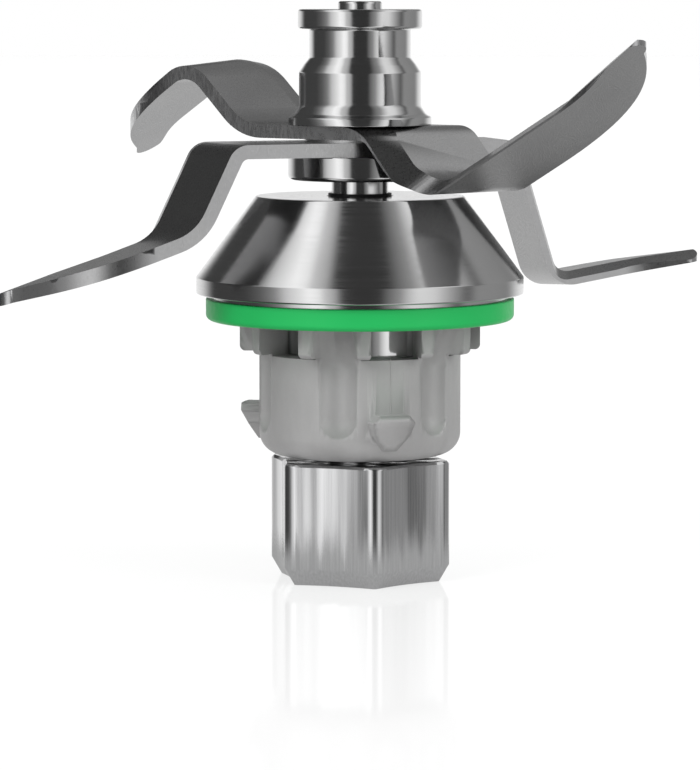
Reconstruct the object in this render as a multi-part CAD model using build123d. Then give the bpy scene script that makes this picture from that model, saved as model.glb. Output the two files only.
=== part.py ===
from build123d import *
from math import atan, cos, degrees, pi, radians, sin, sqrt, tan
import os

# Blender blade assembly: two crossed, folded blades on a spindle, above a conical
# cover, a soft sealing ring, a cast bearing housing and a six-lobed drive coupling.
# Millimetres. The origin is on the spin axis, at the coupling's bottom face, +Z up.

# Fits and small edges
SLIDE = 0.02
RUN = 0.05
SOFT_GAP = 0.05
EDGE_BREAK = 0.3

# Spindle
SPINDLE_R = 4.0
SPINDLE_FLAT = 3.2
HEAD_R = 4.15
HEAD_HEIGHT = 1.5
HEAD_ROUND = 0.5
THREAD_R = 3.0
THREAD_END_ABOVE_FOOT = 2.6
THREAD_POINT = 0.5

# Drive coupling
COUPLING_HEIGHT = 23.0
COUPLING_CORNER_R = 18.3
COUPLING_CORNER_ROUND = 2.6
COUPLING_LOBES = 6
COUPLING_HOLLOW = 1.3
COUPLING_TURN = -80.0
COUPLING_FOOT_IN = 1.9
COUPLING_FOOT_HEIGHT = 3.3
COUPLING_TOP_BREAK = 0.5
COUPLING_BOSS_R = 6.2
NUT_WELL_R = 8.5
NUT_WELL_DEPTH = 9.0
WASHER_R = 6.0
WASHER_THICKNESS = 0.8
NUT_FLATS = 10.0
NUT_HEIGHT = 5.0

# Bearing housing, cast
HOUSING_GAP = 0.9
HOUSING_R = 19.1
HOUSING_FLOOR = 1.8
HOUSING_FLOOR_HOLE_GAP = 0.8
HOUSING_CORNER = 4.2
HOUSING_SHOULDER_Z = 43.6
FLANGE_R = 22.8
FLANGE_ROUND = 1.0
RING_SEAT_R = 24.0
LAND_R = 26.6
LAND_HEIGHT = 2.2
PANELS = 6
WINDOW_TURN = -72.5
WINDOW_WIDTH = 9.6
WINDOW_INNER_WIDTH = 12.4
WINDOW_DROP = 0.4
FLUTE_WIDTH = 7.3
FLUTE_DEPTH = 2.3
FLUTE_FOOT = 4.6
FLUTE_HEAD_DROP = 2.6
FLUTE_RUNOUT = 28.0

# Bayonet lugs
LUGS = 3
LUG_TURN = -73.4
LUG_R = 22.7
LUG_WIDTH = 8.2
LUG_TOP_Z = 33.2
LUG_HEIGHT = 6.9
LUG_SHOULDER = 2.4
LUG_EDGE = 0.5
LUG_LIP = 1.2
LUG_POINT_RAISE = 0.5

# Bearings, 8 x 22 x 7
BEARING_R = 11.0
BEARING_HEIGHT = 7.0
PITCH_R = 7.5
BALL_R = 1.95
BALLS = 7
RACE_WALL = 2.1
RACE_BREAK = 0.3
CAGE_WALL = 1.0
CAGE_HEIGHT = 5.2
SHIELD_THICKNESS = 0.3
SHIELD_RECESS = 0.25
BEARING_SPAN = 11.5

# Bearing tube and what closes it
TUBE_R = 14.6
TUBE_ABOVE_BEARING = 3.4
OUTER_SPACER_WALL = 1.4
INNER_SPACER_WALL = 1.5
PRELOAD_THICKNESS = 0.9
PRELOAD_WALL = 1.6
CIRCLIP_THICKNESS = 1.0
CIRCLIP_BITE = 0.8
CIRCLIP_WALL = 1.9
CIRCLIP_OPENING = 40.0

# Sealing ring and cone cover
RING_R = 29.2
RING_BOTTOM_Z = 49.4
RING_HEIGHT = 4.1
RING_ROUND = 1.1
RIM_R = 31.0
RIM_BOTTOM_Z = 54.4
RIM_HEIGHT = 3.1
RIM_BREAK = 0.35
SPIGOT_R = 28.2
COVER_TOP_Z = 72.8
COVER_TOP_R = 19.7
COVER_TOP_ROUND = 0.5
COVER_WALL = 2.2
COVER_HOLE_R = 6.3
SEAL_HOUSING_R = 10.6
SEAL_HOUSING_WALL = 1.8
SEAL_HEIGHT = 7.0
SEAL_LIP_R = 6.0
SEAL_LIP_RISE = 0.5
SEAL_FLOOR = 2.0
SEAL_WALL = 1.6
GARTER_R = 0.6
GARTER_RISE = 2.5

# Neck, collar and hub cap
NECK_R = 5.4
COLLAR_R = 13.6
COLLAR_BOTTOM_Z = 75.9
COLLAR_HEIGHT = 4.6
COLLAR_ROUND = 0.9
HUB_FLANGE_R = 13.5
HUB_FLANGE_HEIGHT = 1.5
HUB_FLARE_HEIGHT = 2.4
HUB_BODY_R = 11.5
HUB_BODY_HEIGHT = 6.0
HUB_SHOULDER_R = 10.6
HUB_SHOULDER_HEIGHT = 1.4
HUB_NECK_R = 9.55
HUB_NECK_TAPER = 1.3
HUB_NECK_HEIGHT = 5.4
HUB_CAP_R = 11.7
HUB_CAP_HEIGHT = 3.7
HUB_ROUND = 0.6

# Blades: the sheet, and each arm's two folds: distance along the arm, rise, side tilt, and the
# inner bend radius at the blunt edge and at the sharp edge. Ground is the depth that the sharp
# edge is ground away, and taper thins the tip, in degrees
BLADE_SHEET = 2.6
BLADE_GAP = 0.5
BLADE_HALF_WIDTH = 9.5
BEVEL_WIDTH = 3.6
TIP_LENGTH = 9.0
SPACER_R = 10.5
UPPER_TURN = -38.0
LOWER_TURN = 24.0

VALLEY_ARM = {
    "folds": ((14.3, -50.0, 29.6, 2.2, 2.2), (23.8, 29.6, -8.6, 4.1, 7.9)), "ground": 2.2, "taper": 10.0,
    "blunt_straight": 40.0, "sharp_straight": 52.0, "reach": 72.2, "sweep": -15.6, "lean": -64.0,
}
RIDGE_ARM = {
    "folds": ((18.4, 43.5, -12.8, 10.0, 10.0), (33.3, -32.0, -4.8, 5.3, 10.7)), "ground": 0.8, "taper": 6.0,
    "blunt_straight": 38.5, "sharp_straight": 52.0, "reach": 63.4, "sweep": -12.5, "lean": -60.0,
}
LEVEL_ARM = {
    "folds": ((31.4, -72.0, 26.9, 1.0, 1.0), (39.9, 8.5, -5.5, 3.0, 3.0)), "ground": 1.4, "taper": 2.0,
    "blunt_straight": 44.0, "sharp_straight": 50.0, "reach": 65.5, "sweep": -13.0, "lean": -58.0,
}
DROOP_ARM = {
    "folds": ((30.4, -63.4, -13.9, 1.5, 1.5), (38.8, -18.4, 3.0, 9.0, 9.0)), "ground": 1.4, "taper": 2.0,
    "blunt_straight": 44.0, "sharp_straight": 50.0, "reach": 67.5, "sweep": -13.5, "lean": -58.0,
}
NOSE = 5.5

ABOVE = (Align.CENTER, Align.CENTER, Align.MIN)

# Levels worked out from the sizes above
HOUSING_BOTTOM_Z = COUPLING_HEIGHT + HOUSING_GAP
LOWER_BEARING_Z = HOUSING_BOTTOM_Z + HOUSING_FLOOR
UPPER_BEARING_Z = LOWER_BEARING_Z + BEARING_HEIGHT + BEARING_SPAN
BEARING_TOP_Z = UPPER_BEARING_Z + BEARING_HEIGHT
TUBE_TOP_Z = BEARING_TOP_Z + TUBE_ABOVE_BEARING
RING_TOP_Z = RING_BOTTOM_Z + RING_HEIGHT
CONE_EDGE_Z = RIM_BOTTOM_Z + RIM_HEIGHT
SEAL_TOP_Z = COVER_TOP_Z - COVER_WALL
COUPLING_WEB_Z = NUT_WELL_DEPTH
COLLAR_TOP_Z = COLLAR_BOTTOM_Z + COLLAR_HEIGHT
LOWER_BLADE_TOP_Z = COLLAR_TOP_Z + BLADE_SHEET
UPPER_BLADE_BOTTOM_Z = LOWER_BLADE_TOP_Z + BLADE_GAP
UPPER_BLADE_TOP_Z = UPPER_BLADE_BOTTOM_Z + BLADE_SHEET
HUB_TOP_Z = (UPPER_BLADE_TOP_Z + HUB_FLANGE_HEIGHT + HUB_FLARE_HEIGHT + HUB_BODY_HEIGHT
             + HUB_SHOULDER_HEIGHT + HUB_NECK_TAPER + HUB_NECK_HEIGHT + HUB_CAP_HEIGHT)


def turned(points):
    """A solid of revolution from a closed outline of (radius, height) points."""
    return revolve(Plane.XZ * make_face(Polyline(*points, close=True)), Axis.Z)


def tube(inner, outer, low, high):
    """A plain ring between two radii and two heights."""
    return turned(((inner, low), (outer, low), (outer, high), (inner, high)))


def flatted(radius, flat, low, high):
    """A round bar with two flats, as a solid."""
    bar = Pos(0, 0, low) * extrude(Circle(radius) & Rectangle(2 * radius + 1, 2 * flat), high - low)
    return bar


def ring_edges(body, radius, height):
    """The circular edges of a turned body at one radius and height."""
    def found(edge):
        at_height = abs(edge.center().Z - height) < 0.01
        return edge.geom_type == GeomType.CIRCLE and at_height and abs(edge.radius - radius) < 0.01
    return body.edges().filter_by(found)


# Blades

def facet(start, rise, tilt, grind=0.0, swing=0.0):
    """The plane of one flat of an arm: it rises outward and tilts across the arm.

    A grind is the extra slope of a ground edge, and its line swings sideways by swing per mm."""
    run = Vector(1, 0, tan(radians(rise)) - grind * swing)
    across = Vector(0, 1, tan(radians(tilt)) + grind)
    return Plane(origin=start, x_dir=run, z_dir=run.cross(across))


def bend_section(inner, outer):
    """The plane square to a bend line, and the two ways outward from the bend in it."""
    seam = inner.z_dir.cross(outer.z_dir).normalized()
    ways = []
    for plane in (inner, outer):
        way = seam.cross(plane.z_dir)
        ways.append(way if way.X > 0 else -way)
    return Plane(origin=outer.origin, x_dir=ways[0], z_dir=ways[0].cross(inner.z_dir)), ways


def bent_line(points, section, inner, radius):
    """A line through points in a bend's section, rounded at the bend."""
    flat = [(point.dot(section.x_dir), point.dot(inner.z_dir)) for point in points]
    return FilletPolyline(*flat, radius=radius)


def radius_at(bend, side):
    """A bend's inner radius at a distance from the middle of the arm towards its sharp edge."""
    blunt, sharp = bend
    return (blunt + sharp) / 2 + (sharp - blunt) / 2 * side / BLADE_HALF_WIDTH


def bent_plate(section, outline, bend, width):
    """A plate with one bend, whose radius changes evenly from the blunt side to the sharp side."""
    ends = []
    for side in (-width, width):
        ends.append(Pos(section.z_dir * side) * (section * outline(radius_at(bend, side))))
    return loft(ends, ruled=True)


def fold(inner, outer, bend, length, width):
    """Two flats of sheet joined by one round bend, as wide plates on both sides of the bend."""
    section, ways = bend_section(inner, outer)
    corner = -(inner.z_dir + outer.z_dir) * (BLADE_SHEET / (1 + inner.z_dir.dot(outer.z_dir)))
    top = [ways[0] * -length, Vector(0, 0, 0), ways[1] * length]
    bottom = [top[0] - inner.z_dir * BLADE_SHEET, corner, top[2] - outer.z_dir * BLADE_SHEET]
    downward = outer.z_dir.dot(ways[0]) > 0

    def outline(radius):
        radii = (radius + BLADE_SHEET, radius) if downward else (radius, radius + BLADE_SHEET)
        lines = [bent_line(points, section, inner, side) for points, side in zip((top, bottom), radii)]
        return make_face([*lines, *(Line(lines[0] @ end, lines[1] @ end) for end in (0, 1))])
    return bent_plate(section, outline, bend, width)


def under_fold(inner, outer, bend, length, width):
    """All that lies under two flats and the bend between them."""
    section, ways = bend_section(inner, outer)
    downward = outer.z_dir.dot(ways[0]) > 0

    def outline(radius):
        top = bent_line([ways[0] * -length, Vector(0, 0, 0), ways[1] * length], section, inner,
                        radius + BLADE_SHEET if downward else radius)
        start, end = top @ 0, top @ 1
        return make_face([top, Polyline(end, (end.X, -3 * length), (start.X, -3 * length), start)])
    return bent_plate(section, outline, bend, width)


def joined_folds(make, planes, bends, length, width):
    """Two bends made one after the other, joined in the middle of the flat between them."""
    near, far = (make(planes[i], planes[i + 1], bends[i], length, width) for i in (0, 1))
    seams = [planes[i].z_dir.cross(planes[i + 1].z_dir).normalized() for i in (0, 1)]
    seams = [seam if seam.Y > 0 else -seam for seam in seams]
    middle = (planes[1].origin + planes[2].origin) / 2
    parting = Plane(origin=middle, z_dir=(seams[0] + seams[1]).cross(planes[1].z_dir))
    return split(near, bisect_by=parting, keep=Keep.BOTTOM) + split(far, bisect_by=parting, keep=Keep.TOP)


def folded_arm(arm):
    """One arm in its own frame: flat at the hub, folded twice, ground, and cut to its leaf outline."""
    length = 1.5 * arm["reach"]
    width = 2.8 * BLADE_HALF_WIDTH
    bevel_line = BEVEL_WIDTH - BLADE_HALF_WIDTH
    start = Vector(0, 0, 0)
    planes = [Plane.XY]
    ground = [Plane.XY]
    bends = []
    slope = 0.0
    for distance, rise, tilt, *bend in arm["folds"]:
        start = Vector(distance, 0, start.Z + (distance - start.X) * tan(radians(slope)))
        planes.append(facet(start, rise, tilt))
        seam = planes[-2].z_dir.cross(planes[-1].z_dir)
        grind = arm["ground"] / BEVEL_WIDTH / planes[-1].z_dir.Z
        ground.append(facet(start + seam * (bevel_line / seam.Y), rise, tilt, grind))
        bends.append(bend)
        slope = rise
    sheet = joined_folds(fold, planes, bends, length, width)
    edge_bends = [[radius_at(bend, -bevel_line)] * 2 for bend in bends]
    under = joined_folds(under_fold, ground, edge_bends, length, 2 * width)
    nose_start = Vector(arm["sharp_straight"], bevel_line, 0)
    nose_start.Z = start.Z + (nose_start.X - start.X) * tan(radians(slope)) + bevel_line * tan(radians(tilt))
    swing = (arm["sweep"] + BLADE_HALF_WIDTH) / (arm["reach"] - arm["sharp_straight"])
    outer_length = 2 * (arm["reach"] - arm["sharp_straight"]) + BEVEL_WIDTH
    outer_block = Pos(arm["reach"], 0, 0) * Box(outer_length, length, length)
    under += split(outer_block, bisect_by=facet(nose_start, rise, tilt, grind, swing), keep=Keep.BOTTOM)
    sheet = split(sheet & under, bisect_by=Plane.YZ, keep=Keep.TOP)
    tip_x = arm["reach"] - TIP_LENGTH
    tip_start = Vector(tip_x, 0, start.Z + (tip_x - start.X) * tan(radians(slope)))
    tip_block = Pos(arm["reach"], 0, 0) * Box(2 * TIP_LENGTH, length, length)
    sheet -= split(tip_block, bisect_by=facet(tip_start, rise - arm["taper"], tilt), keep=Keep.TOP)
    return sheet & extrude(leaf(arm), length, both=True)


def leaf(arm):
    """The plan outline of an arm: straight edges, then a nose swept towards the sharp edge."""
    half = BLADE_HALF_WIDTH
    reach = arm["reach"]
    sweep = arm["sweep"]
    lean = radians(arm["lean"])
    back = (reach - NOSE * cos(lean) * 0.4, sweep - NOSE * sin(lean))
    front = (reach - NOSE * 0.35, sweep - NOSE * 0.2)
    blunt = Spline((arm["blunt_straight"], half), back, tangents=((1, 0), (cos(lean), sin(lean))))
    nose = ThreePointArc(back, (reach, sweep), front)
    sharp = Spline(front, (arm["sharp_straight"], -half), tangents=((-0.9, 0.42), (-1, 0)))
    sides = (
        Line((0, half), (arm["blunt_straight"], half)),
        Line((arm["sharp_straight"], -half), (0, -half)),
        Line((0, -half), (0, half)),
    )
    return make_face([blunt, nose, sharp, *sides])


def blade(right_arm, left_arm, turn, top):
    """A whole blade: two folded arms, one bevelled cutting edge each, and a double-D hole."""
    body = folded_arm(right_arm) + Rot(0, 0, 180) * folded_arm(left_arm)
    hole = flatted(SPINDLE_R + SLIDE, SPINDLE_FLAT + SLIDE, -2 * BLADE_SHEET, BLADE_SHEET)
    return Pos(0, 0, top) * (Rot(0, 0, turn) * body - hole)


def blade_spacer():
    return tube(SPINDLE_R + SLIDE, SPACER_R, LOWER_BLADE_TOP_Z, UPPER_BLADE_BOTTOM_Z)


# Spindle and what it clamps

def spindle():
    """A round bar with flats where it drives the blades and the coupling, and a peened head."""
    foot = THREAD_END_ABOVE_FOOT
    head_top = HUB_TOP_Z + HEAD_HEIGHT
    bar = turned((
        (0, foot),
        (THREAD_R - THREAD_POINT, foot),
        (THREAD_R, foot + THREAD_POINT),
        (THREAD_R, COUPLING_WEB_Z),
        (SPINDLE_R, COUPLING_WEB_Z),
        (SPINDLE_R, HUB_TOP_Z),
        (HEAD_R, HUB_TOP_Z),
        (HEAD_R, head_top),
        (0, head_top),
    ))
    bar = fillet(ring_edges(bar, HEAD_R, head_top), HEAD_ROUND)
    for low, high in ((COUPLING_WEB_Z, COUPLING_HEIGHT), (COLLAR_TOP_Z, HUB_TOP_Z)):
        for side in (1, -1):
            slab = Box(2 * HEAD_R, 2 * SPINDLE_R, high - low, align=ABOVE)
            bar -= Pos(0, side * (SPINDLE_FLAT + SPINDLE_R), low) * slab
    return bar


def hub_cap():
    """Turned cap: a clamping flange, a flare, a waist with a neck above, and a top disc."""
    flange_top = UPPER_BLADE_TOP_Z + HUB_FLANGE_HEIGHT
    body_bottom = flange_top + HUB_FLARE_HEIGHT
    body_top = body_bottom + HUB_BODY_HEIGHT
    shoulder = body_top + HUB_SHOULDER_HEIGHT
    neck_bottom = shoulder + HUB_NECK_TAPER
    neck_top = neck_bottom + HUB_NECK_HEIGHT
    bore = SPINDLE_R + SLIDE
    low = Polyline((bore, UPPER_BLADE_TOP_Z), (HUB_FLANGE_R, UPPER_BLADE_TOP_Z), (HUB_FLANGE_R, flange_top))
    flare_end = (HUB_BODY_R, body_bottom)
    flare = Spline((HUB_FLANGE_R, flange_top), flare_end, tangents=((-0.9, 0.45), (-0.12, 1)))
    high = Polyline(
        flare_end,
        (HUB_BODY_R, body_top),
        (HUB_SHOULDER_R, shoulder),
        (HUB_NECK_R, neck_bottom),
        (HUB_NECK_R, neck_top),
        (HUB_CAP_R, neck_top),
        (HUB_CAP_R, HUB_TOP_Z),
        (bore, HUB_TOP_Z),
        (bore, UPPER_BLADE_TOP_Z),
    )
    cap = revolve(Plane.XZ * make_face([low, flare, high]), Axis.Z)
    rounded = ring_edges(cap, HUB_CAP_R, HUB_TOP_Z) + ring_edges(cap, HUB_CAP_R, neck_top)
    rounded += ring_edges(cap, HUB_NECK_R, neck_bottom) + ring_edges(cap, HUB_BODY_R, body_top)
    cap = fillet(rounded, HUB_ROUND)
    broken = ring_edges(cap, HUB_NECK_R, neck_top) + ring_edges(cap, HUB_FLANGE_R, flange_top)
    return fillet(broken, EDGE_BREAK)


def blade_collar():
    collar = tube(SPINDLE_R + SLIDE, COLLAR_R, COLLAR_BOTTOM_Z, COLLAR_TOP_Z)
    collar = fillet(ring_edges(collar, COLLAR_R, COLLAR_BOTTOM_Z), COLLAR_ROUND)
    return chamfer(ring_edges(collar, COLLAR_R, COLLAR_TOP_Z), EDGE_BREAK)


def neck_sleeve():
    return tube(SPINDLE_R + SLIDE, NECK_R, BEARING_TOP_Z, COLLAR_BOTTOM_Z)


# Drive coupling and its fastening

def lobed_outline(radius):
    """Six rounded corners with slightly hollow sides, centred on the axis."""
    side = radius * cos(pi / COUPLING_LOBES) - COUPLING_HOLLOW
    arcs = []
    for lobe in range(COUPLING_LOBES):
        start, middle, end = (radians(360 / COUPLING_LOBES * (lobe + share)) for share in (0, 0.5, 1))
        arcs.append(ThreePointArc(
            (radius * cos(start), radius * sin(start)),
            (side * cos(middle), side * sin(middle)),
            (radius * cos(end), radius * sin(end))))
    face = make_face(arcs)
    return fillet(face.vertices(), COUPLING_CORNER_ROUND)


def drive_coupling():
    """Six-lobed driver: hollow-sided prism with a narrowed foot, a boss and a nut well."""
    sharp_r = COUPLING_CORNER_R + COUPLING_CORNER_ROUND * 0.2
    wall = Pos(0, 0, COUPLING_FOOT_HEIGHT) * extrude(
        lobed_outline(sharp_r), COUPLING_HEIGHT - COUPLING_FOOT_HEIGHT)
    wall = chamfer(wall.faces().sort_by(Axis.Z)[-1].outer_wire().edges(), COUPLING_TOP_BREAK)
    foot_taper = degrees(atan(COUPLING_FOOT_IN / COUPLING_FOOT_HEIGHT))
    foot = Pos(0, 0, COUPLING_FOOT_HEIGHT) * Rot(180, 0, 0) * extrude(
        lobed_outline(sharp_r), COUPLING_FOOT_HEIGHT, taper=foot_taper)
    body = Rot(0, 0, COUPLING_TURN) * (wall + foot)
    body += tube(0, COUPLING_BOSS_R, COUPLING_HEIGHT - EDGE_BREAK, LOWER_BEARING_Z)
    body -= flatted(SPINDLE_R + SLIDE, SPINDLE_FLAT + SLIDE, 0, COUPLING_HEIGHT)
    body -= tube(0, SPINDLE_R + SLIDE, COUPLING_HEIGHT - SLIDE, LOWER_BEARING_Z + 1)
    return body - tube(0, NUT_WELL_R, -1, COUPLING_WEB_Z)


def coupling_washer():
    return tube(THREAD_R + SLIDE, WASHER_R, COUPLING_WEB_Z - WASHER_THICKNESS, COUPLING_WEB_Z)


def coupling_nut():
    """A six-sided nut with broken corners."""
    top = COUPLING_WEB_Z - WASHER_THICKNESS
    outline = RegularPolygon(NUT_FLATS / 2, 6, major_radius=False)
    prism = Pos(0, 0, top - NUT_HEIGHT) * extrude(outline, NUT_HEIGHT)
    corner = NUT_FLATS / 2 / cos(pi / 6)
    drop = (corner - NUT_FLATS / 2) * tan(radians(30))
    blunt = turned((
        (THREAD_R + SLIDE, top - NUT_HEIGHT),
        (NUT_FLATS / 2, top - NUT_HEIGHT),
        (corner, top - NUT_HEIGHT + drop),
        (corner, top - drop),
        (NUT_FLATS / 2, top),
        (THREAD_R + SLIDE, top),
    ))
    return prism & blunt


# Bearings

def races(bottom):
    """Inner and outer race of a ball bearing, each with its ball groove."""
    top = bottom + BEARING_HEIGHT
    middle = (bottom + top) / 2
    groove = Pos(0, 0, middle) * Torus(PITCH_R, BALL_R + RUN)
    inner = tube(SPINDLE_R + SLIDE, SPINDLE_R + RACE_WALL, bottom, top)
    outer = tube(BEARING_R - RACE_WALL, BEARING_R, bottom, top)
    inner = chamfer(ring_edges(inner, SPINDLE_R + RACE_WALL, top), RACE_BREAK)
    outer = chamfer(ring_edges(outer, BEARING_R, top) + ring_edges(outer, BEARING_R, bottom), RACE_BREAK)
    return inner - groove, outer - groove


def ball_angles():
    return [360 / BALLS * ball for ball in range(BALLS)]


def balls(bottom):
    middle = bottom + BEARING_HEIGHT / 2
    return [Rot(0, 0, angle) * Pos(PITCH_R, 0, middle) * Sphere(BALL_R) for angle in ball_angles()]


def cage(bottom):
    """A ring between the races, with a round pocket for each ball."""
    middle = bottom + BEARING_HEIGHT / 2
    low = middle - CAGE_HEIGHT / 2
    ring = tube(PITCH_R - CAGE_WALL / 2, PITCH_R + CAGE_WALL / 2, low, low + CAGE_HEIGHT)
    pocket = Pos(PITCH_R, 0, middle) * Rot(0, 90, 0) * Cylinder(BALL_R + RUN, 2 * CAGE_WALL)
    for angle in ball_angles():
        ring -= Rot(0, 0, angle) * pocket
    return ring


def bearing_shields():
    """Thin shields, two for each bearing, held by the outer races and clear of the inner."""
    shields = []
    for bottom in (LOWER_BEARING_Z, UPPER_BEARING_Z):
        for low in (bottom + SHIELD_RECESS, bottom + BEARING_HEIGHT - SHIELD_RECESS - SHIELD_THICKNESS):
            inner = SPINDLE_R + RACE_WALL + 3 * RUN
            shields.append(tube(inner, BEARING_R - RACE_WALL, low, low + SHIELD_THICKNESS))
    return shields


def inner_spacer():
    low = LOWER_BEARING_Z + BEARING_HEIGHT
    return tube(SPINDLE_R + SLIDE, SPINDLE_R + INNER_SPACER_WALL, low, UPPER_BEARING_Z)


def outer_spacer():
    low = LOWER_BEARING_Z + BEARING_HEIGHT
    return tube(BEARING_R - OUTER_SPACER_WALL, BEARING_R, low, UPPER_BEARING_Z)


def bearing_tube():
    """The polished tube that holds both bearings, with a groove for the circlip."""
    low = BEARING_TOP_Z + PRELOAD_THICKNESS
    body = tube(BEARING_R + SLIDE, TUBE_R, LOWER_BEARING_Z, TUBE_TOP_Z)
    groove = tube(BEARING_R, BEARING_R + CIRCLIP_BITE + SLIDE, low, low + CIRCLIP_THICKNESS)
    return body - groove


def preload_washer():
    top = BEARING_TOP_Z + PRELOAD_THICKNESS
    return tube(BEARING_R - PRELOAD_WALL, BEARING_R - 2 * SLIDE, BEARING_TOP_Z, top)


def tube_circlip():
    """An internal retaining ring with its gap."""
    low = BEARING_TOP_Z + PRELOAD_THICKNESS
    outer = BEARING_R + CIRCLIP_BITE
    ring = tube(outer - CIRCLIP_WALL, outer, low, low + CIRCLIP_THICKNESS)
    return ring - wedge(CIRCLIP_OPENING, 2 * outer, low - 1, low + CIRCLIP_THICKNESS + 1)


# Housing

def bearing_housing():
    """Cast cup: ribbed panels, windows under the flange, three bayonet lugs and a ring seat."""
    bore = TUBE_R + SLIDE
    body = turned((
        (bore, LOWER_BEARING_Z),
        (bore, RING_TOP_Z + LAND_HEIGHT),
        (LAND_R, RING_TOP_Z + LAND_HEIGHT),
        (LAND_R, RING_TOP_Z),
        (RING_SEAT_R, RING_TOP_Z),
        (RING_SEAT_R, RING_BOTTOM_Z),
        (FLANGE_R, RING_BOTTOM_Z),
        (FLANGE_R, HOUSING_SHOULDER_Z),
        (HOUSING_R, HOUSING_SHOULDER_Z),
        (HOUSING_R, HOUSING_BOTTOM_Z),
        (COUPLING_BOSS_R + HOUSING_FLOOR_HOLE_GAP, HOUSING_BOTTOM_Z),
        (COUPLING_BOSS_R + HOUSING_FLOOR_HOLE_GAP, LOWER_BEARING_Z),
    ))
    body = fillet(ring_edges(body, HOUSING_R, HOUSING_BOTTOM_Z), HOUSING_CORNER)
    body = fillet(ring_edges(body, FLANGE_R, HOUSING_SHOULDER_Z), FLANGE_ROUND)
    for panel in range(PANELS):
        turn = WINDOW_TURN + 360 / PANELS * panel
        body -= Rot(0, 0, turn) * window()
        body -= Rot(0, 0, turn + 180 / PANELS) * flute()
    for lug in range(LUGS):
        body += Rot(0, 0, LUG_TURN + 360 / LUGS * lug) * bayonet_lug()
    return body


def wedge(angle, reach, low, high):
    """A slice of pie about the axis, on the +X side."""
    half = radians(angle / 2)
    corners = ((0, 0), (reach, -reach * tan(half)), (reach, reach * tan(half)))
    return Pos(0, 0, low) * extrude(make_face(Polyline(*corners, close=True)), high - low)


def window():
    """An opening through the flange that bares the bearing tube, wider on the inside."""
    low = HOUSING_SHOULDER_Z - WINDOW_DROP
    outer = WINDOW_WIDTH / 2
    inner = WINDOW_INNER_WIDTH / 2
    plan = make_face(Polyline(
        (0, -inner), (TUBE_R, -inner), (FLANGE_R, -outer), (RING_SEAT_R, -outer),
        (RING_SEAT_R, outer), (FLANGE_R, outer), (TUBE_R, inner), (0, inner), close=True))
    opening = Pos(0, 0, low) * extrude(plan, RING_BOTTOM_Z - low)
    return opening - Pos(0, 0, low) * Cylinder(TUBE_R, RING_BOTTOM_Z - low, align=ABOVE)


def flute():
    """A round channel between two panels: round nosed at its foot, running out under the ring."""
    floor = HOUSING_R - FLUTE_DEPTH
    half = FLUTE_WIDTH / 2
    chord = sqrt(HOUSING_R ** 2 - half ** 2) - floor
    radius = (half ** 2 + chord ** 2) / (2 * chord)
    middle = floor + radius
    nose = HOUSING_BOTTOM_Z + FLUTE_FOOT + sqrt(radius ** 2 - (middle - HOUSING_R) ** 2)
    head = HOUSING_SHOULDER_Z - FLUTE_HEAD_DROP
    run = 2 * (RING_BOTTOM_Z - head) / cos(radians(FLUTE_RUNOUT))
    channel = Pos(middle, 0, nose) * Cylinder(radius, head - nose, align=ABOVE)
    channel += Pos(middle, 0, nose) * Sphere(radius)
    channel += Pos(middle, 0, head) * Sphere(radius)
    channel += Pos(middle, 0, head) * Rot(0, FLUTE_RUNOUT, 0) * Cylinder(radius, run, align=ABOVE)
    return channel & tube(TUBE_R, middle + run, HOUSING_BOTTOM_Z, RING_BOTTOM_Z)


def bayonet_lug():
    """A shield-shaped lug: flat at the top, tapered to a rounded point at the bottom."""
    low = LUG_TOP_Z - LUG_HEIGHT
    half = LUG_WIDTH / 2
    outline = make_face(Polyline(
        (-half + LUG_SHOULDER * 0.5, LUG_TOP_Z), (half - LUG_SHOULDER * 0.5, LUG_TOP_Z),
        (half, LUG_TOP_Z - LUG_SHOULDER * 0.6), (half * 0.85, LUG_TOP_Z - LUG_HEIGHT * 0.55),
        (half * 0.3, low), (-half * 0.3, low), (-half * 0.85, LUG_TOP_Z - LUG_HEIGHT * 0.55),
        (-half, LUG_TOP_Z - LUG_SHOULDER * 0.6), close=True))
    outline = fillet(outline.vertices(), LUG_EDGE)
    face_out = Plane(origin=(HOUSING_R - FLUTE_DEPTH, 0, 0), x_dir=(0, 1, 0), z_dir=(1, 0, 0))
    pad = extrude(face_out * outline, LUG_R)
    root = HOUSING_R - FLUTE_DEPTH
    return pad & turned((
        (root, low),
        (HOUSING_R + LUG_POINT_RAISE, low),
        (LUG_R - LUG_LIP, LUG_TOP_Z - LUG_HEIGHT / 2),
        (LUG_R, LUG_TOP_Z - LUG_LIP),
        (LUG_R, LUG_TOP_Z),
        (root, LUG_TOP_Z),
    ))


def seal_ring():
    ring = tube(RING_SEAT_R + SOFT_GAP, RING_R, RING_BOTTOM_Z, RING_TOP_Z)
    return fillet(ring_edges(ring, RING_R, RING_BOTTOM_Z), RING_ROUND)


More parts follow.
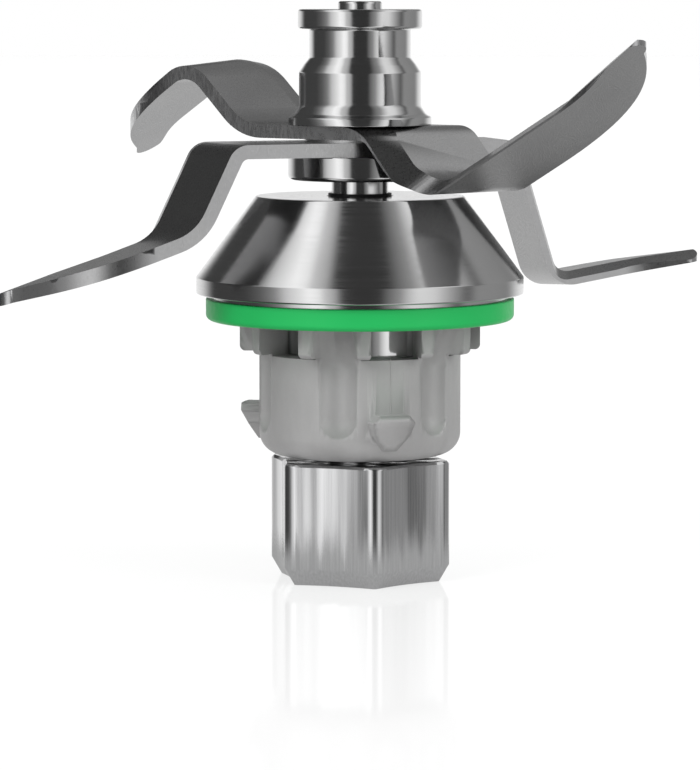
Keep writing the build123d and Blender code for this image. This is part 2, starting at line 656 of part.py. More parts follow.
def cone_cover():
    """A turned conical shell over the housing, with a seal seat inside its top."""
    land_gap = LAND_R + SOFT_GAP
    slant = atan((RIM_R - COVER_TOP_R) / (COVER_TOP_Z - CONE_EDGE_Z))
    inset = COVER_WALL / cos(slant)
    land_top = RING_TOP_Z + LAND_HEIGHT
    seal_foot = SEAL_TOP_Z - SEAL_HEIGHT
    seat_outer = SEAL_HOUSING_R + SEAL_HOUSING_WALL
    run = (RIM_R - COVER_TOP_R) / (COVER_TOP_Z - CONE_EDGE_Z)
    shell = turned((
        (COVER_HOLE_R, COVER_TOP_Z),
        (COVER_TOP_R, COVER_TOP_Z),
        (RIM_R, CONE_EDGE_Z),
        (RIM_R, RIM_BOTTOM_Z),
        (SPIGOT_R, RIM_BOTTOM_Z),
        (SPIGOT_R, RING_TOP_Z),
        (land_gap, RING_TOP_Z),
        (land_gap, land_top + (RIM_R - inset - land_gap) * 0.2),
        (RIM_R - inset - (land_top + 1.5 - CONE_EDGE_Z) * run, land_top + 1.5),
        (COVER_TOP_R - inset + COVER_WALL * run, SEAL_TOP_Z),
        (seat_outer, SEAL_TOP_Z),
        (seat_outer, seal_foot),
        (SEAL_HOUSING_R, seal_foot),
        (SEAL_HOUSING_R, SEAL_TOP_Z),
        (COVER_HOLE_R, SEAL_TOP_Z),
    ))
    shell = fillet(ring_edges(shell, COVER_TOP_R, COVER_TOP_Z), COVER_TOP_ROUND)
    return chamfer(ring_edges(shell, RIM_R, RIM_BOTTOM_Z) + ring_edges(shell, RIM_R, CONE_EDGE_Z), RIM_BREAK)


def shaft_seal():
    """A lip seal pressed into the cover: an outer wall, a floor and a lip that hugs the neck."""
    low = SEAL_TOP_Z - SEAL_HEIGHT
    outer = SEAL_HOUSING_R - SLIDE
    lip = NECK_R + RUN
    return turned((
        (lip, COVER_TOP_Z + SEAL_LIP_RISE),
        (SEAL_LIP_R, COVER_TOP_Z + SEAL_LIP_RISE),
        (SEAL_LIP_R, SEAL_TOP_Z),
        (outer, SEAL_TOP_Z),
        (outer, low),
        (outer - SEAL_WALL, low),
        (outer - SEAL_WALL, SEAL_TOP_Z - SEAL_FLOOR),
        (lip + SEAL_WALL, SEAL_TOP_Z - SEAL_FLOOR),
        (lip + SEAL_WALL, low + 1),
        (lip, low + 1),
    ))


def garter_spring():
    """The spring that tightens the seal's lip, as a plain ring."""
    coil_r = NECK_R + RUN + SEAL_WALL + GARTER_R
    return Pos(0, 0, SEAL_TOP_Z - SEAL_HEIGHT + GARTER_RISE) * Torus(coil_r, GARTER_R)


PARTS = {
    "spindle": spindle,
    "hub_cap": hub_cap,
    "upper_blade": lambda: blade(VALLEY_ARM, RIDGE_ARM, UPPER_TURN, UPPER_BLADE_TOP_Z),
    "blade_spacer": blade_spacer,
    "lower_blade": lambda: blade(LEVEL_ARM, DROOP_ARM, LOWER_TURN, LOWER_BLADE_TOP_Z),
    "blade_collar": blade_collar,
    "neck_sleeve": neck_sleeve,
    "upper_inner_race": lambda: races(UPPER_BEARING_Z)[0],
    "lower_inner_race": lambda: races(LOWER_BEARING_Z)[0],
    "inner_spacer": inner_spacer,
    "drive_coupling": drive_coupling,
    "coupling_washer": coupling_washer,
    "coupling_nut": coupling_nut,
    "cone_cover": cone_cover,
    "seal_ring": seal_ring,
    "shaft_seal": shaft_seal,
    "garter_spring": garter_spring,
    "bearing_housing": bearing_housing,
    "bearing_tube": bearing_tube,
    "upper_outer_race": lambda: races(UPPER_BEARING_Z)[1],
    "lower_outer_race": lambda: races(LOWER_BEARING_Z)[1],
    "outer_spacer": outer_spacer,
    "preload_washer": preload_washer,
    "tube_circlip": tube_circlip,
    "bearing_shields": bearing_shields,
    "upper_cage": lambda: cage(UPPER_BEARING_Z),
    "upper_balls": lambda: balls(UPPER_BEARING_Z),
    "lower_cage": lambda: cage(LOWER_BEARING_Z),
    "lower_balls": lambda: balls(LOWER_BEARING_Z),
}

os.makedirs("parts", exist_ok=True)
for name, make in PARTS.items():
    made = make()
    export_step(Compound(made) if isinstance(made, list) else made, f"parts/{name}.step")
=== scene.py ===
import math

import bmesh
import bpy
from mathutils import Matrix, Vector


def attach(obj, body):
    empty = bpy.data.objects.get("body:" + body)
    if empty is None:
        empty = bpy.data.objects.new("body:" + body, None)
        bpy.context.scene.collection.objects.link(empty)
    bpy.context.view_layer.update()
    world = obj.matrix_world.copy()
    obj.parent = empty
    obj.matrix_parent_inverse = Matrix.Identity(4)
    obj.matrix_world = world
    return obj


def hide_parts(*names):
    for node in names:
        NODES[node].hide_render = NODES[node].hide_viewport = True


# The blade assembly of a jug blender, standing on its drive coupling.
# Sizes in this file are millimetres unless a name says otherwise; meshes are metres.

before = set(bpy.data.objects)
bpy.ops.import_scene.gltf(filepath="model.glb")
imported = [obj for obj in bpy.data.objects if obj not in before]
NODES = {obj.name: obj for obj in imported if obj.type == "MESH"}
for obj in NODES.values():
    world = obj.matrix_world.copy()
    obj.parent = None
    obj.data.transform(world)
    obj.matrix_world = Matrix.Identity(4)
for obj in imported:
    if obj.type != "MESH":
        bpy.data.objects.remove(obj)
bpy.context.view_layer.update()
SCENE = bpy.context.scene
MM = 0.001

# How finely turned pieces are cut, and which edges stay crisp
AROUND = 256
ROUNDING_STEP_DEG = 12
ROUNDING_MIN_STEPS = 3
SMOOTH_UP_TO = math.radians(28)
SAME_POINT_M = 1e-7
SAME_CORNER_M = 2e-7

# Nearly all of a noise texture lies between these values
NOISE_LOW = 0.3
NOISE_HIGH = 0.7

# Camera, found from the ellipses of the turned parts
FRAME_WIDTH_PX = 700
FOCAL_PX = 3900
CAMERA_AT = (-1.881, -737.2, 111.47)
CAMERA_DOWN_DEG = 5.783
SENSOR_MM = 36
CAMERA_SEES_M = 50


# Node trees in plain steps

class Tree:
    """Short ways to add and join shader nodes."""

    def __init__(self, tree):
        self.nodes = tree.nodes
        self.links = tree.links
        self.nodes.clear()

    def add(self, kind, **settings):
        node = self.nodes.new(kind)
        for key, value in settings.items():
            setattr(node, key, value)
        return node

    def join(self, source, target):
        self.links.new(source, target)

    def put(self, target, value):
        if hasattr(value, "is_output"):
            self.links.new(value, target)
        else:
            target.default_value = value

    def math(self, operation, first, second=0.0, clamp=False):
        node = self.add("ShaderNodeMath", operation=operation, use_clamp=clamp)
        self.put(node.inputs[0], first)
        self.put(node.inputs[1], second)
        return node.outputs[0]

    def times(self, first, second):
        return self.math("MULTIPLY", first, second)

    def split(self, vector):
        node = self.add("ShaderNodeSeparateXYZ")
        self.put(node.inputs[0], vector)
        return node.outputs

    def gather(self, *values):
        node = self.add("ShaderNodeCombineXYZ")
        for socket, value in zip(node.inputs, values):
            self.put(socket, value)
        return node.outputs[0]

    def spread(self, value, low, high, to_low=0.0, to_high=1.0, smooth=False):
        node = self.add("ShaderNodeMapRange", interpolation_type="SMOOTHSTEP" if smooth else "LINEAR")
        for socket, item in zip(node.inputs[:5], (value, low, high, to_low, to_high)):
            self.put(socket, item)
        return node.outputs[0]

    def ramp(self, factor, stops):
        node = self.add("ShaderNodeValToRGB")
        node.color_ramp.interpolation = "LINEAR"
        elements = node.color_ramp.elements
        while len(elements) < len(stops):
            elements.new(0.5)
        for element, (place, colour) in zip(elements, stops):
            element.position = place
            element.color = (*colour, 1) if isinstance(colour, tuple) else (colour, colour, colour, 1)
        self.put(node.inputs[0], factor)
        return node.outputs[0]

    def noise(self, vector, scale, detail=2.0, roughness=0.5):
        node = self.add("ShaderNodeTexNoise")
        self.put(node.inputs["Vector"], vector)
        node.inputs["Scale"].default_value = scale
        node.inputs["Detail"].default_value = detail
        node.inputs["Roughness"].default_value = roughness
        return node.outputs["Fac"]

    def over_noise(self, noise, low, high):
        return self.spread(noise, NOISE_LOW, NOISE_HIGH, low, high)

    def two_tones(self, noise, dark, light):
        return self.ramp(noise, ((NOISE_LOW, dark), (NOISE_HIGH, light)))

    def stretched(self, vector, scale):
        node = self.add("ShaderNodeMapping")
        self.put(node.inputs["Vector"], vector)
        node.inputs["Scale"].default_value = scale
        return node.outputs[0]

    def bump(self, height, strength, distance):
        node = self.add("ShaderNodeBump")
        node.inputs["Strength"].default_value = strength
        node.inputs["Distance"].default_value = distance
        self.put(node.inputs["Height"], height)
        return node.outputs[0]

    def mix_colour(self, factor, first, second):
        node = self.add("ShaderNodeMix", data_type="RGBA", blend_type="MIX")
        self.put(node.inputs["Factor"], factor)
        self.put(node.inputs[6], first)
        self.put(node.inputs[7], second)
        return node.outputs[2]

    def mix_shader(self, factor, first, second):
        node = self.add("ShaderNodeMixShader")
        self.put(node.inputs[0], factor)
        self.join(first, node.inputs[1])
        self.join(second, node.inputs[2])
        return node.outputs[0]


def material(name):
    """A new material and its node helper, with a Principled shader wired to the output."""
    made = bpy.data.materials.new(name)
    made.use_nodes = True
    tree = Tree(made.node_tree)
    shader = tree.add("ShaderNodeBsdfPrincipled")
    output = tree.add("ShaderNodeOutputMaterial")
    tree.join(shader.outputs[0], output.inputs["Surface"])
    return made, tree, shader


def object_place(tree):
    return tree.add("ShaderNodeTexCoord").outputs["Object"]


def steel_surface(tree, shader, tint, grain, rough, depth, relief_mm):
    """Bare metal: its tint, and one grain that sets both the roughness and the fine relief."""
    shader.inputs["Metallic"].default_value = 1.0
    tree.join(tint, shader.inputs["Base Color"])
    tree.join(tree.over_noise(grain, *rough), shader.inputs["Roughness"])
    tree.join(tree.bump(grain, depth, relief_mm * MM), shader.inputs["Normal"])


def marks_round_axis(tree, place, out_per_mm, up_per_mm, round_axis):
    """A place for noise that changes fast outwards or upwards and slowly round the axis."""
    x, y, z = tree.split(place)
    radius = tree.math("SQRT", tree.math("ADD", tree.times(x, x), tree.times(y, y)))
    angle = tree.math("ARCTAN2", y, x)
    return tree.gather(
        tree.times(radius, out_per_mm / MM), tree.times(z, up_per_mm / MM), tree.times(angle, round_axis))


def turned_steel(name, colour=0.62, rough=(0.09, 0.15), lines=5.0, depth=0.02):
    """Lathe-cut steel with the fine rings that the tool leaves."""
    made, tree, shader = material(name)
    place = object_place(tree)
    rings = tree.noise(marks_round_axis(tree, place, lines, lines, 1.3), 1.0, detail=3.0, roughness=0.6)
    cloud = tree.noise(place, 90.0, detail=3.0)
    tint = tree.two_tones(cloud, colour * 0.93, (colour, colour, colour * 1.005))
    steel_surface(tree, shader, tint, rings, rough, depth, 0.02)
    return made


def rolled_steel(name, colour, rough, grain_mm, depth, streak=(1, 1, 1)):
    """Sheet or bar with a fine grain, which may run in one direction."""
    made, tree, shader = material(name)
    place = object_place(tree)
    grain = tree.noise(tree.stretched(place, streak), 1.0 / (grain_mm * MM), detail=4.0)
    cloud = tree.noise(place, 60.0, detail=4.0)
    tint = tree.ramp(cloud, ((0.25, (colour * 0.88, colour * 0.88, colour * 0.89)), (0.75, colour)))
    steel_surface(tree, shader, tint, grain, rough, depth, 0.03)
    return made


def ground_steel(name):
    """The ground cutting edge: fine wheel marks that run across the edge of every arm."""
    made, tree, shader = material(name)
    where = marks_round_axis(tree, object_place(tree), 2.6, 0.5, 3.0)
    marks = tree.noise(where, 1.0, detail=4.0, roughness=0.65)
    tint = tree.two_tones(marks, (0.44, 0.44, 0.445), (0.56, 0.56, 0.565))
    steel_surface(tree, shader, tint, marks, (0.20, 0.36), 0.12, 0.02)
    return made


def drawn_steel(name):
    """Drawn bar: long soft waves and fine lines that all run up and down."""
    made, tree, shader = material(name)
    place = object_place(tree)
    waves = tree.noise(tree.stretched(place, (1, 1, 0.03)), 260.0, detail=1.0, roughness=0.4)
    lines = tree.noise(tree.stretched(place, (1, 1, 0.02)), 2600.0, detail=3.0)
    shader.inputs["Metallic"].default_value = 1.0
    tint = tree.two_tones(lines, (0.52, 0.52, 0.525), (0.60, 0.60, 0.605))
    tree.join(tint, shader.inputs["Base Color"])
    tree.join(tree.over_noise(lines, 0.12, 0.20), shader.inputs["Roughness"])
    height = tree.math("ADD", waves, tree.times(lines, 0.006))
    tree.join(tree.bump(height, 1.0, 0.30 * MM), shader.inputs["Normal"])
    return made


def cast_metal(name):
    """As-cast housing: matte, a little uneven, with a fine sandy grain."""
    made, tree, shader = material(name)
    place = object_place(tree)
    sand = tree.noise(place, 1800.0, detail=4.0, roughness=0.7)
    flow = tree.noise(tree.stretched(place, (1, 1, 0.4)), 110.0, detail=4.0)
    shader.inputs["Metallic"].default_value = 0.35
    tint = tree.ramp(flow, (
        (0.25, (0.40, 0.395, 0.395)), (0.5, (0.48, 0.475, 0.475)), (0.8, (0.56, 0.555, 0.555))))
    tree.join(tint, shader.inputs["Base Color"])
    tree.join(tree.over_noise(sand, 0.46, 0.62), shader.inputs["Roughness"])
    height = tree.math("ADD", tree.times(sand, 0.25), tree.times(flow, 0.75))
    tree.join(tree.bump(height, 0.35, 0.25 * MM), shader.inputs["Normal"])
    return made


def soft_rubber(name, colour, dark, rough):
    """Moulded rubber with a low sheen and a fine even grain."""
    made, tree, shader = material(name)
    place = object_place(tree)
    fine = tree.noise(place, 900.0, detail=3.0)
    cloud = tree.noise(place, 45.0, detail=2.0)
    tree.join(tree.two_tones(cloud, dark, colour), shader.inputs["Base Color"])
    tree.join(tree.over_noise(fine, rough - 0.05, rough + 0.06), shader.inputs["Roughness"])
    tree.join(tree.bump(fine, 0.12, 0.05 * MM), shader.inputs["Normal"])
    shader.inputs["Specular IOR Level"].default_value = 0.35
    return made


TURNED = turned_steel("turned_stainless")
CONE_STEEL = turned_steel("turned_cover_stainless", lines=3.2, depth=0.045, rough=(0.12, 0.20))
POLISHED = turned_steel("polished_bearing_steel", colour=0.70, rough=(0.06, 0.12), lines=6.0, depth=0.02)
BLADE_STEEL = rolled_steel("rolled_blade_stainless", 0.34, (0.24, 0.36), 0.22, 0.10)
BEVEL_STEEL = ground_steel("ground_blade_edge")
SHEARED_STEEL = rolled_steel("sheared_blade_edge", 0.46, (0.26, 0.38), 0.12, 0.08, streak=(1, 1, 0.2))
COUPLING_STEEL = drawn_steel("drawn_coupling_stainless")
INNER_STEEL = rolled_steel("ground_inner_steel", 0.5, (0.25, 0.35), 0.3, 0.05)
CAST = cast_metal("cast_aluminium")
GREEN = soft_rubber("green_silicone", (0.016, 0.56, 0.13), (0.013, 0.50, 0.11), 0.42)
BLACK_RUBBER = soft_rubber("black_seal_rubber", (0.03, 0.03, 0.032), (0.02, 0.02, 0.022), 0.5)


# Meshes

def finish_piece(name, mesh, body, finishes, replaced=()):
    """Shades a mesh, makes it a piece of the object and ties it to its body."""
    mesh.shade_smooth()
    mesh.set_sharp_from_angle(angle=SMOOTH_UP_TO)
    for finish in finishes:
        mesh.materials.append(finish)
    piece = bpy.data.objects.new(name, mesh)
    SCENE.collection.objects.link(piece)
    even = piece.modifiers.new("even_shading", "WEIGHTED_NORMAL")
    even.keep_sharp = True
    shaded = piece.evaluated_get(bpy.context.evaluated_depsgraph_get())
    piece.data = bpy.data.meshes.new_from_object(shaded)
    piece.modifiers.clear()
    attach(piece, body)
    if replaced:
        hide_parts(*replaced)


def rounded_outline(corners):
    """A closed outline in (radius, height), each corner rounded by its own radius in short chords."""
    points = []
    count = len(corners)
    for index, (r, z, bend) in enumerate(corners):
        here = Vector((r, z))
        if bend <= 0:
            points.append((r, z))
            continue
        before = Vector(corners[index - 1][:2]) - here
        after = Vector(corners[(index + 1) % count][:2]) - here
        half = before.angle(after) / 2
        back = bend / math.tan(half)
        start = here + before.normalized() * back
        end = here + after.normalized() * back
        centre = here + (before.normalized() + after.normalized()).normalized() * (bend / math.sin(half))
        from_vector = start - centre
        sweep = from_vector.angle_signed(end - centre)
        steps = max(ROUNDING_MIN_STEPS, round(abs(math.degrees(sweep)) / ROUNDING_STEP_DEG))
        for step in range(steps + 1):
            turn = -sweep * step / steps
            c, s = math.cos(turn), math.sin(turn)
            spoke = Vector((from_vector.x * c - from_vector.y * s, from_vector.x * s + from_vector.y * c))
            points.append(tuple(centre + spoke))
    return points


def lathe(node, name, body, finish, corners):
    """A turned piece in place of a solid, from its closed outline of (radius, height, rounding)."""
    shape = bmesh.new()
    rings = []
    for r, z in rounded_outline(corners):
        ring = []
        for k in range(AROUND):
            turn = 2 * math.pi * k / AROUND
            ring.append(shape.verts.new((r * MM * math.cos(turn), r * MM * math.sin(turn), z * MM)))
        rings.append(ring)
    for index, ring in enumerate(rings):
        following = rings[(index + 1) % len(rings)]
        for k in range(AROUND):
            shape.faces.new((ring[k], ring[(k + 1) % AROUND], following[(k + 1) % AROUND], following[k]))
    bmesh.ops.remove_doubles(shape, verts=shape.verts, dist=SAME_POINT_M)
    bmesh.ops.recalc_face_normals(shape, faces=shape.faces)
    mesh = bpy.data.meshes.new(name)
    shape.to_mesh(mesh)
    shape.free()
    finish_piece(name, mesh, body, (finish,), (node,))


# Flat faces are made whole where they agree within this angle
FLAT_WITHIN = math.radians(0.4)
FLAT_ON_CASTING = math.radians(0.02)

# How the parts of a blade are told apart: a knife edge, a bend's small steps, a narrow bevel, a sheared wall
KNIFE_ANGLE = math.radians(105)
BEND_STEP = math.radians(14)
BEVEL_AREA_M2 = 450 * MM * MM
UPRIGHT = 0.06
BEVEL_FACE = 1
SHEARED_FACE = 2


def merged_copy(node, name, body, slot, *finishes, sort_faces=None, flat_within=FLAT_WITHIN):
    """A copy of the solid, corners joined and flat faces made whole, so that bends shade smoothly."""
    shape = bmesh.new()
    shape.from_mesh(NODES[node].data)
    bmesh.ops.remove_doubles(shape, verts=shape.verts, dist=SAME_CORNER_M)
    bmesh.ops.dissolve_limit(shape, angle_limit=flat_within, verts=shape.verts, edges=shape.edges)
    shape.normal_update()
    for face in shape.faces:
        face.material_index = 0
    if sort_faces:
        sort_faces(shape)
    mesh = bpy.data.meshes.new(name)
    shape.to_mesh(mesh)
    shape.free()
    finish_piece(name, mesh, body, finishes, (node,))


def smooth_region(first):
    """The faces reached from one face without crossing a crease."""
    region = {first}
    waiting = [first]
    while waiting:
        face = waiting.pop()
        for edge in face.edges:
            if len(edge.link_faces) != 2 or edge.calc_face_angle() > BEND_STEP:
                continue
            for other in edge.link_faces:
                if other not in region:
                    region.add(other)
                    waiting.append(other)
    return region


def sort_blade_faces(shape):
    """Gives the ground bevels and the sheared walls of a blade their own finish."""
    for face in shape.faces:
        if abs(face.normal.z) < UPRIGHT:
            face.material_index = SHEARED_FACE
    done = set()
    for edge in shape.edges:
        if len(edge.link_faces) != 2 or edge.calc_face_angle() < KNIFE_ANGLE:
            continue
        for face in edge.link_faces:
            if face in done:
                continue
            region = smooth_region(face)
            done |= region
            if sum(part.calc_area() for part in region) < BEVEL_AREA_M2:
                for part in region:
                    part.material_index = BEVEL_FACE


def give(node, finish):
    """A better finish for a solid that stays as it is."""
    data = NODES[node].data
    data.materials.clear()
    data.materials.append(finish)


# Turned pieces, in the sizes of the solids that they replace

SIZE_DIGITS = 3


def turned_sizes(node):
    """A turned solid's bore, outer radius, bottom and top."""
    corners = [corner.co / MM for corner in NODES[node].data.vertices]
    radii = [math.hypot(at.x, at.y) for at in corners]
    heights = [at.z for at in corners]
    return [round(size, SIZE_DIGITS) for size in (min(radii), max(radii), min(heights), max(heights))]


def lathe_ring(node, name, body, finish, low_round=0, high_round=0):
    """A plain turned ring, with its two outer edges rounded."""
    bore, outer, bottom, top = turned_sizes(node)
    lathe(node, name, body, finish, (
        (bore, bottom, 0), (outer, bottom, low_round), (outer, top, high_round), (bore, top, 0)))


# Hub cap: a flange, a flare up to the body, a shoulder down to the neck, and the cap above it
HUB_BORE_R, HUB_FLANGE_R, HUB_BOTTOM, HUB_TOP = turned_sizes("hub_cap")
HUB_FLARE_R = 12.5
HUB_BODY_R = 11.5
HUB_SHOULDER_R = 10.6
HUB_NECK_R = 9.55
HUB_CAP_R = 11.7
FLANGE_TOP = HUB_BOTTOM + 1.5
FLARE_FOOT = FLANGE_TOP + 0.5
BODY_FOOT = FLARE_FOOT + 1.5
BODY_TOP = BODY_FOOT + 6.4
SHOULDER_TOP = BODY_TOP + 1.4
NECK_FOOT = SHOULDER_TOP + 1.3
NECK_TOP = HUB_TOP - 3.7

# Cone cover: a cone with a rim, a spigot that grips the housing's land, and a seat for the shaft seal
COVER_HOLE_R, RIM_R, SPIGOT_BOTTOM, COVER_TOP = turned_sizes("cone_cover")
COVER_TOP_R = 19.7
COVER_CEILING = COVER_TOP - 2.2
CEILING_R = 17.9
RIM_BOTTOM = SPIGOT_BOTTOM + 0.9
RIM_TOP = RIM_BOTTOM + 3.1
SPIGOT_R = 28.2
SPIGOT_HOLE_R = 26.65
SPIGOT_TOP = SPIGOT_BOTTOM + 2.5
CONE_FOOT_INSIDE = RIM_TOP - 0.3
SEAL_SEAT_R = 10.6
SEAL_SEAT_OUTER_R = 12.4
SEAL_SEAT_BOTTOM = COVER_CEILING - 7.0

lathe("hub_cap", "hub_cap_turned", "rotor", TURNED, (
    (HUB_BORE_R, HUB_BOTTOM, 0), (HUB_FLANGE_R, HUB_BOTTOM, 0.15), (HUB_FLANGE_R, FLANGE_TOP, 0.3),
    (HUB_FLARE_R, FLARE_FOOT, 1.2), (HUB_BODY_R, BODY_FOOT, 1.6), (HUB_BODY_R, BODY_TOP, 0.6),
    (HUB_SHOULDER_R, SHOULDER_TOP, 0.5), (HUB_NECK_R, NECK_FOOT, 0.6), (HUB_NECK_R, NECK_TOP, 0.35),
    (HUB_CAP_R, NECK_TOP, 0.6), (HUB_CAP_R, HUB_TOP, 0.5), (HUB_BORE_R, HUB_TOP, 0)))
lathe_ring("blade_collar", "blade_collar_turned", "rotor", TURNED, 0.9, 0.25)
lathe_ring("neck_sleeve", "neck_sleeve_turned", "rotor", TURNED)
lathe("cone_cover", "cone_cover_turned", "housing", CONE_STEEL, (
    (COVER_HOLE_R, COVER_TOP, 0.15), (COVER_TOP_R, COVER_TOP, 0.5), (RIM_R, RIM_TOP, 0.35),
    (RIM_R, RIM_BOTTOM, 0.35), (SPIGOT_R, RIM_BOTTOM, 0), (SPIGOT_R, SPIGOT_BOTTOM, 0),
    (SPIGOT_HOLE_R, SPIGOT_BOTTOM, 0), (SPIGOT_HOLE_R, SPIGOT_TOP, 0), (SPIGOT_R, CONE_FOOT_INSIDE, 0),
    (CEILING_R, COVER_CEILING, 0), (SEAL_SEAT_OUTER_R, COVER_CEILING, 0),
    (SEAL_SEAT_OUTER_R, SEAL_SEAT_BOTTOM, 0), (SEAL_SEAT_R, SEAL_SEAT_BOTTOM, 0),
    (SEAL_SEAT_R, COVER_CEILING, 0), (COVER_HOLE_R, COVER_CEILING, 0)))
lathe_ring("seal_ring", "seal_ring_moulded", "housing", GREEN, 1.1, 0.25)


# Pieces that keep their solid's own shape

merged_copy("spindle", "spindle_ground", "rotor", "spindle_steel", TURNED)
for blade in ("upper_blade", "lower_blade"):
    merged_copy(
        blade, blade + "_sheet", "rotor", "blade_steel", BLADE_STEEL, BEVEL_STEEL, SHEARED_STEEL,
        sort_faces=sort_blade_faces)
merged_copy("drive_coupling", "drive_coupling_drawn", "rotor", "coupling_steel", COUPLING_STEEL)
merged_copy(
    "bearing_housing", "bearing_housing_cast", "housing", "cast_housing", CAST, flat_within=FLAT_ON_CASTING)
merged_copy("bearing_tube", "bearing_tube_polished", "housing", "bearing_steel", POLISHED)
merged_copy("shaft_seal", "shaft_seal_moulded", "housing", "seal_rubber", BLACK_RUBBER)

for plain in (
        "blade_spacer", "coupling_washer", "coupling_nut", "inner_spacer", "outer_spacer", "preload_washer"):
    give(plain, INNER_STEEL)
for polished in (
        "upper_inner_race", "lower_inner_race", "upper_outer_race", "lower_outer_race", "garter_spring",
        "tube_circlip", "bearing_shields", "upper_cage", "lower_cage", "upper_balls", "lower_balls"):
    give(polished, POLISHED)


# The flash line of the casting

HOUSING_R = 19.1
HOUSING_SHOULDER = 43.4
SEAM_WIDTH = 0.26
SEAM_CREST_WIDTH = 0.13
SEAM_RISE = 0.09
SEAM_ROOT = 0.3
SEAM_TURN_DEG = -72.8
SEAM_FRONT_FOOT = 33.0
SEAM_BACK_FOOT = 27.5


def casting_seam(name, turn_deg, low):
    """The thin raised line left where the casting dies met, from a height up to the shoulder."""
    half, crest = SEAM_WIDTH / 2, SEAM_CREST_WIDTH / 2
    out, sunk = HOUSING_R + SEAM_RISE, HOUSING_R - SEAM_ROOT
    turn = math.radians(turn_deg)
    corners = []
    for z in (low, HOUSING_SHOULDER):
        for r, across in ((sunk, -half), (sunk, half), (out, crest), (out, -crest)):
            corners.append((MM * (r * math.cos(turn) - across * math.sin(turn)),
                            MM * (r * math.sin(turn) + across * math.cos(turn)), MM * z))
    ends = [(0, 3, 2, 1), (4, 5, 6, 7)]
    sides = [(0, 1, 5, 4), (1, 2, 6, 5), (2, 3, 7, 6), (3, 0, 4, 7)]
    mesh = bpy.data.meshes.new(name)
    mesh.from_pydata(corners, [], ends + sides)
    finish_piece(name, mesh, "housing", (CAST,))


casting_seam("casting_seam_front", SEAM_TURN_DEG, SEAM_FRONT_FOOT)
casting_seam("casting_seam_back", SEAM_TURN_DEG + 180, SEAM_BACK_FOOT)


# Stage: floor, room light, lamps and camera

FLOOR_HALF_M = 6.0
FLOOR_GREY = 0.8
FLOOR_GLOW = 0.55
FLOOR_GLOW_SEEN = 1.46
FLOOR_GLOW_SHARE = 0.62
FLOOR_SHEEN_ROUGHNESS = 0.08
FLOOR_IOR = 1.45
FLOOR_MIRROR_SHARE = 0.70
MIRRORED_WITHIN_M = 0.03
CLEAR_BEYOND_M = 0.06


def floor():
    """A pale, faintly glossy floor: white to the camera, with a soft shadow and a faint mirror image."""
    reach = FLOOR_HALF_M
    mesh = bpy.data.meshes.new("floor")
    mesh.from_pydata(
        [(-reach, -reach, 0), (reach, -reach, 0), (reach, reach, 0), (-reach, reach, 0)], [], [(0, 1, 2, 3)])
    made = bpy.data.materials.new("pale_floor")
    made.use_nodes = True
    tree = Tree(made.node_tree)
    path = tree.add("ShaderNodeLightPath").outputs
    matte = tree.add("ShaderNodeBsdfDiffuse")
    matte.inputs["Color"].default_value = (FLOOR_GREY, FLOOR_GREY, FLOOR_GREY, 1)
    bright = tree.add("ShaderNodeEmission")
    bright.inputs["Color"].default_value = (1, 1, 1, 1)
    glow = tree.spread(path["Is Camera Ray"], 0, 1, FLOOR_GLOW, FLOOR_GLOW_SEEN)
    tree.join(glow, bright.inputs["Strength"])
    lit = tree.mix_shader(FLOOR_GLOW_SHARE, matte.outputs[0], bright.outputs[0])
    sheen = tree.add("ShaderNodeBsdfGlossy")
    sheen.inputs["Color"].default_value = (1, 1, 1, 1)
    sheen.inputs["Roughness"].default_value = FLOOR_SHEEN_ROUGHNESS
    grazing = tree.add("ShaderNodeFresnel")
    grazing.inputs["IOR"].default_value = FLOOR_IOR
    mirror_share = tree.times(path["Is Camera Ray"], tree.times(grazing.outputs[0], FLOOR_MIRROR_SHARE))
    wet = tree.mix_shader(mirror_share, lit, sheen.outputs[0])
    # Metal well above the floor sees the room's light panels below it too
    far = tree.spread(path["Ray Length"], MIRRORED_WITHIN_M, CLEAR_BEYOND_M)
    clear = tree.add("ShaderNodeBsdfTransparent")
    seen = tree.mix_shader(tree.times(path["Is Glossy Ray"], far), wet, clear.outputs[0])
    output = tree.add("ShaderNodeOutputMaterial")
    tree.join(seen, output.inputs["Surface"])
    mesh.materials.append(made)
    piece = bpy.data.objects.new("floor", mesh)
    SCENE.collection.objects.link(piece)


# The light panels that turned metal mirrors: their brightness from behind the object, past its side,
# round to the front
LEFT_PANELS = (
    (0.0, 0.04), (0.20, 0.045), (0.246, 0.09), (0.266, 0.13), (0.298, 0.21), (0.34, 0.54), (0.362, 0.62),
    (0.432, 0.84), (0.456, 0.95), (0.558, 0.82), (0.61, 0.51), (0.79, 0.40), (0.94, 0.16), (1.0, 0.03))
RIGHT_PANELS = (
    (0.0, 0.19), (0.19, 0.24), (0.224, 0.09), (0.276, 0.32), (0.34, 0.64), (0.42, 0.70), (0.558, 0.24),
    (0.79, 0.10), (0.95, 0.03))
PANELS_LEAN = 0.6
PANELS_SPAN = (-1.0, 4.0)
PANELS_STRENGTH = 1.6
MIDDLE = 0.02
WALL_BEHIND = (0.63, 0.63, 0.63, 1)
WALL_AWAY_SPAN = (0.55, 0.9)
WALL_UP_SPAN = (0.30, 0.05)
EVEN_LIGHT = 0.62


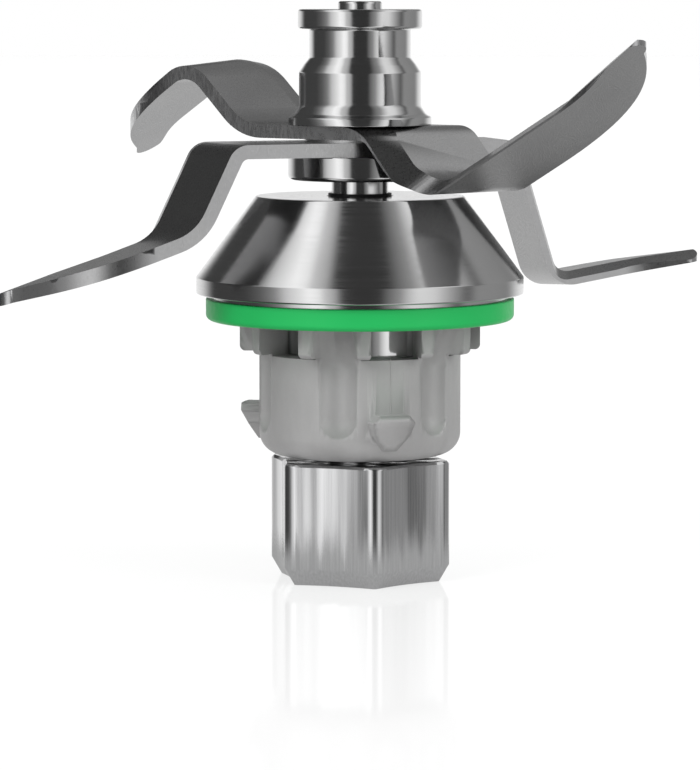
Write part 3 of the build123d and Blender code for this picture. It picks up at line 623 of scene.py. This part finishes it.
def room():
    """White all round for the eye, even grey for matte surfaces, and tall light panels for metal."""
    world = bpy.data.worlds.new("studio")
    SCENE.world = world
    world.use_nodes = True
    tree = Tree(world.node_tree)
    x, y, z = tree.split(tree.add("ShaderNodeTexCoord").outputs["Generated"])
    sideways = tree.math("MAXIMUM", tree.math("ABSOLUTE", x), MIDDLE)
    along = tree.math("DIVIDE", tree.math("SUBTRACT", tree.times(z, PANELS_LEAN), y), sideways)
    place = tree.spread(along, *PANELS_SPAN)
    left = tree.ramp(place, LEFT_PANELS)
    right = tree.ramp(place, RIGHT_PANELS)
    is_right = tree.spread(x, -MIDDLE, MIDDLE)
    panels = tree.mix_colour(is_right, left, right)
    behind = tree.math(
        "MULTIPLY", tree.spread(y, *WALL_AWAY_SPAN, smooth=True), tree.spread(z, *WALL_UP_SPAN, smooth=True),
        clamp=True)
    seen_in_metal = tree.mix_colour(behind, panels, WALL_BEHIND)
    path = tree.add("ShaderNodeLightPath").outputs
    metal = tree.add("ShaderNodeBackground")
    metal.inputs["Strength"].default_value = PANELS_STRENGTH
    tree.join(seen_in_metal, metal.inputs["Color"])
    even = tree.add("ShaderNodeBackground")
    even.inputs["Color"].default_value = (1, 1, 1, 1)
    tree.join(tree.spread(path["Is Camera Ray"], 0, 1, EVEN_LIGHT, 1.0), even.inputs["Strength"])
    output = tree.add("ShaderNodeOutputWorld")
    seen = tree.mix_shader(path["Is Glossy Ray"], even.outputs[0], metal.outputs[0])
    tree.join(seen, output.inputs["Surface"])


LAMP_SIZE_M = 0.4
LAMP_TARGET_M = Vector((0, 0, 0.04))


def lamp(name, place_m, watts):
    """A soft square lamp that metal doesn't mirror."""
    data = bpy.data.lights.new(name, "AREA")
    data.shape = "RECTANGLE"
    data.size = LAMP_SIZE_M
    data.size_y = LAMP_SIZE_M
    data.energy = watts
    piece = bpy.data.objects.new(name, data)
    SCENE.collection.objects.link(piece)
    piece.location = place_m
    piece.rotation_euler = (LAMP_TARGET_M - Vector(place_m)).to_track_quat("-Z", "Y").to_euler()
    piece.visible_glossy = False


def camera():
    """A long lens, a little above the hub and tipped down."""
    data = bpy.data.cameras.new("camera")
    data.sensor_fit = "HORIZONTAL"
    data.sensor_width = SENSOR_MM
    data.lens = SENSOR_MM * FOCAL_PX / FRAME_WIDTH_PX
    data.clip_end = CAMERA_SEES_M
    piece = bpy.data.objects.new("camera", data)
    SCENE.collection.objects.link(piece)
    piece.location = [value * MM for value in CAMERA_AT]
    piece.rotation_euler = (math.radians(90 - CAMERA_DOWN_DEG), 0, 0)
    SCENE.camera = piece


floor()
room()
lamp("key_left", (-0.5, -0.6, 0.55), 3.2)
lamp("fill_right", (0.6, -0.4, 0.35), 1.6)
camera()
SCENE.view_settings.view_transform = "Standard"
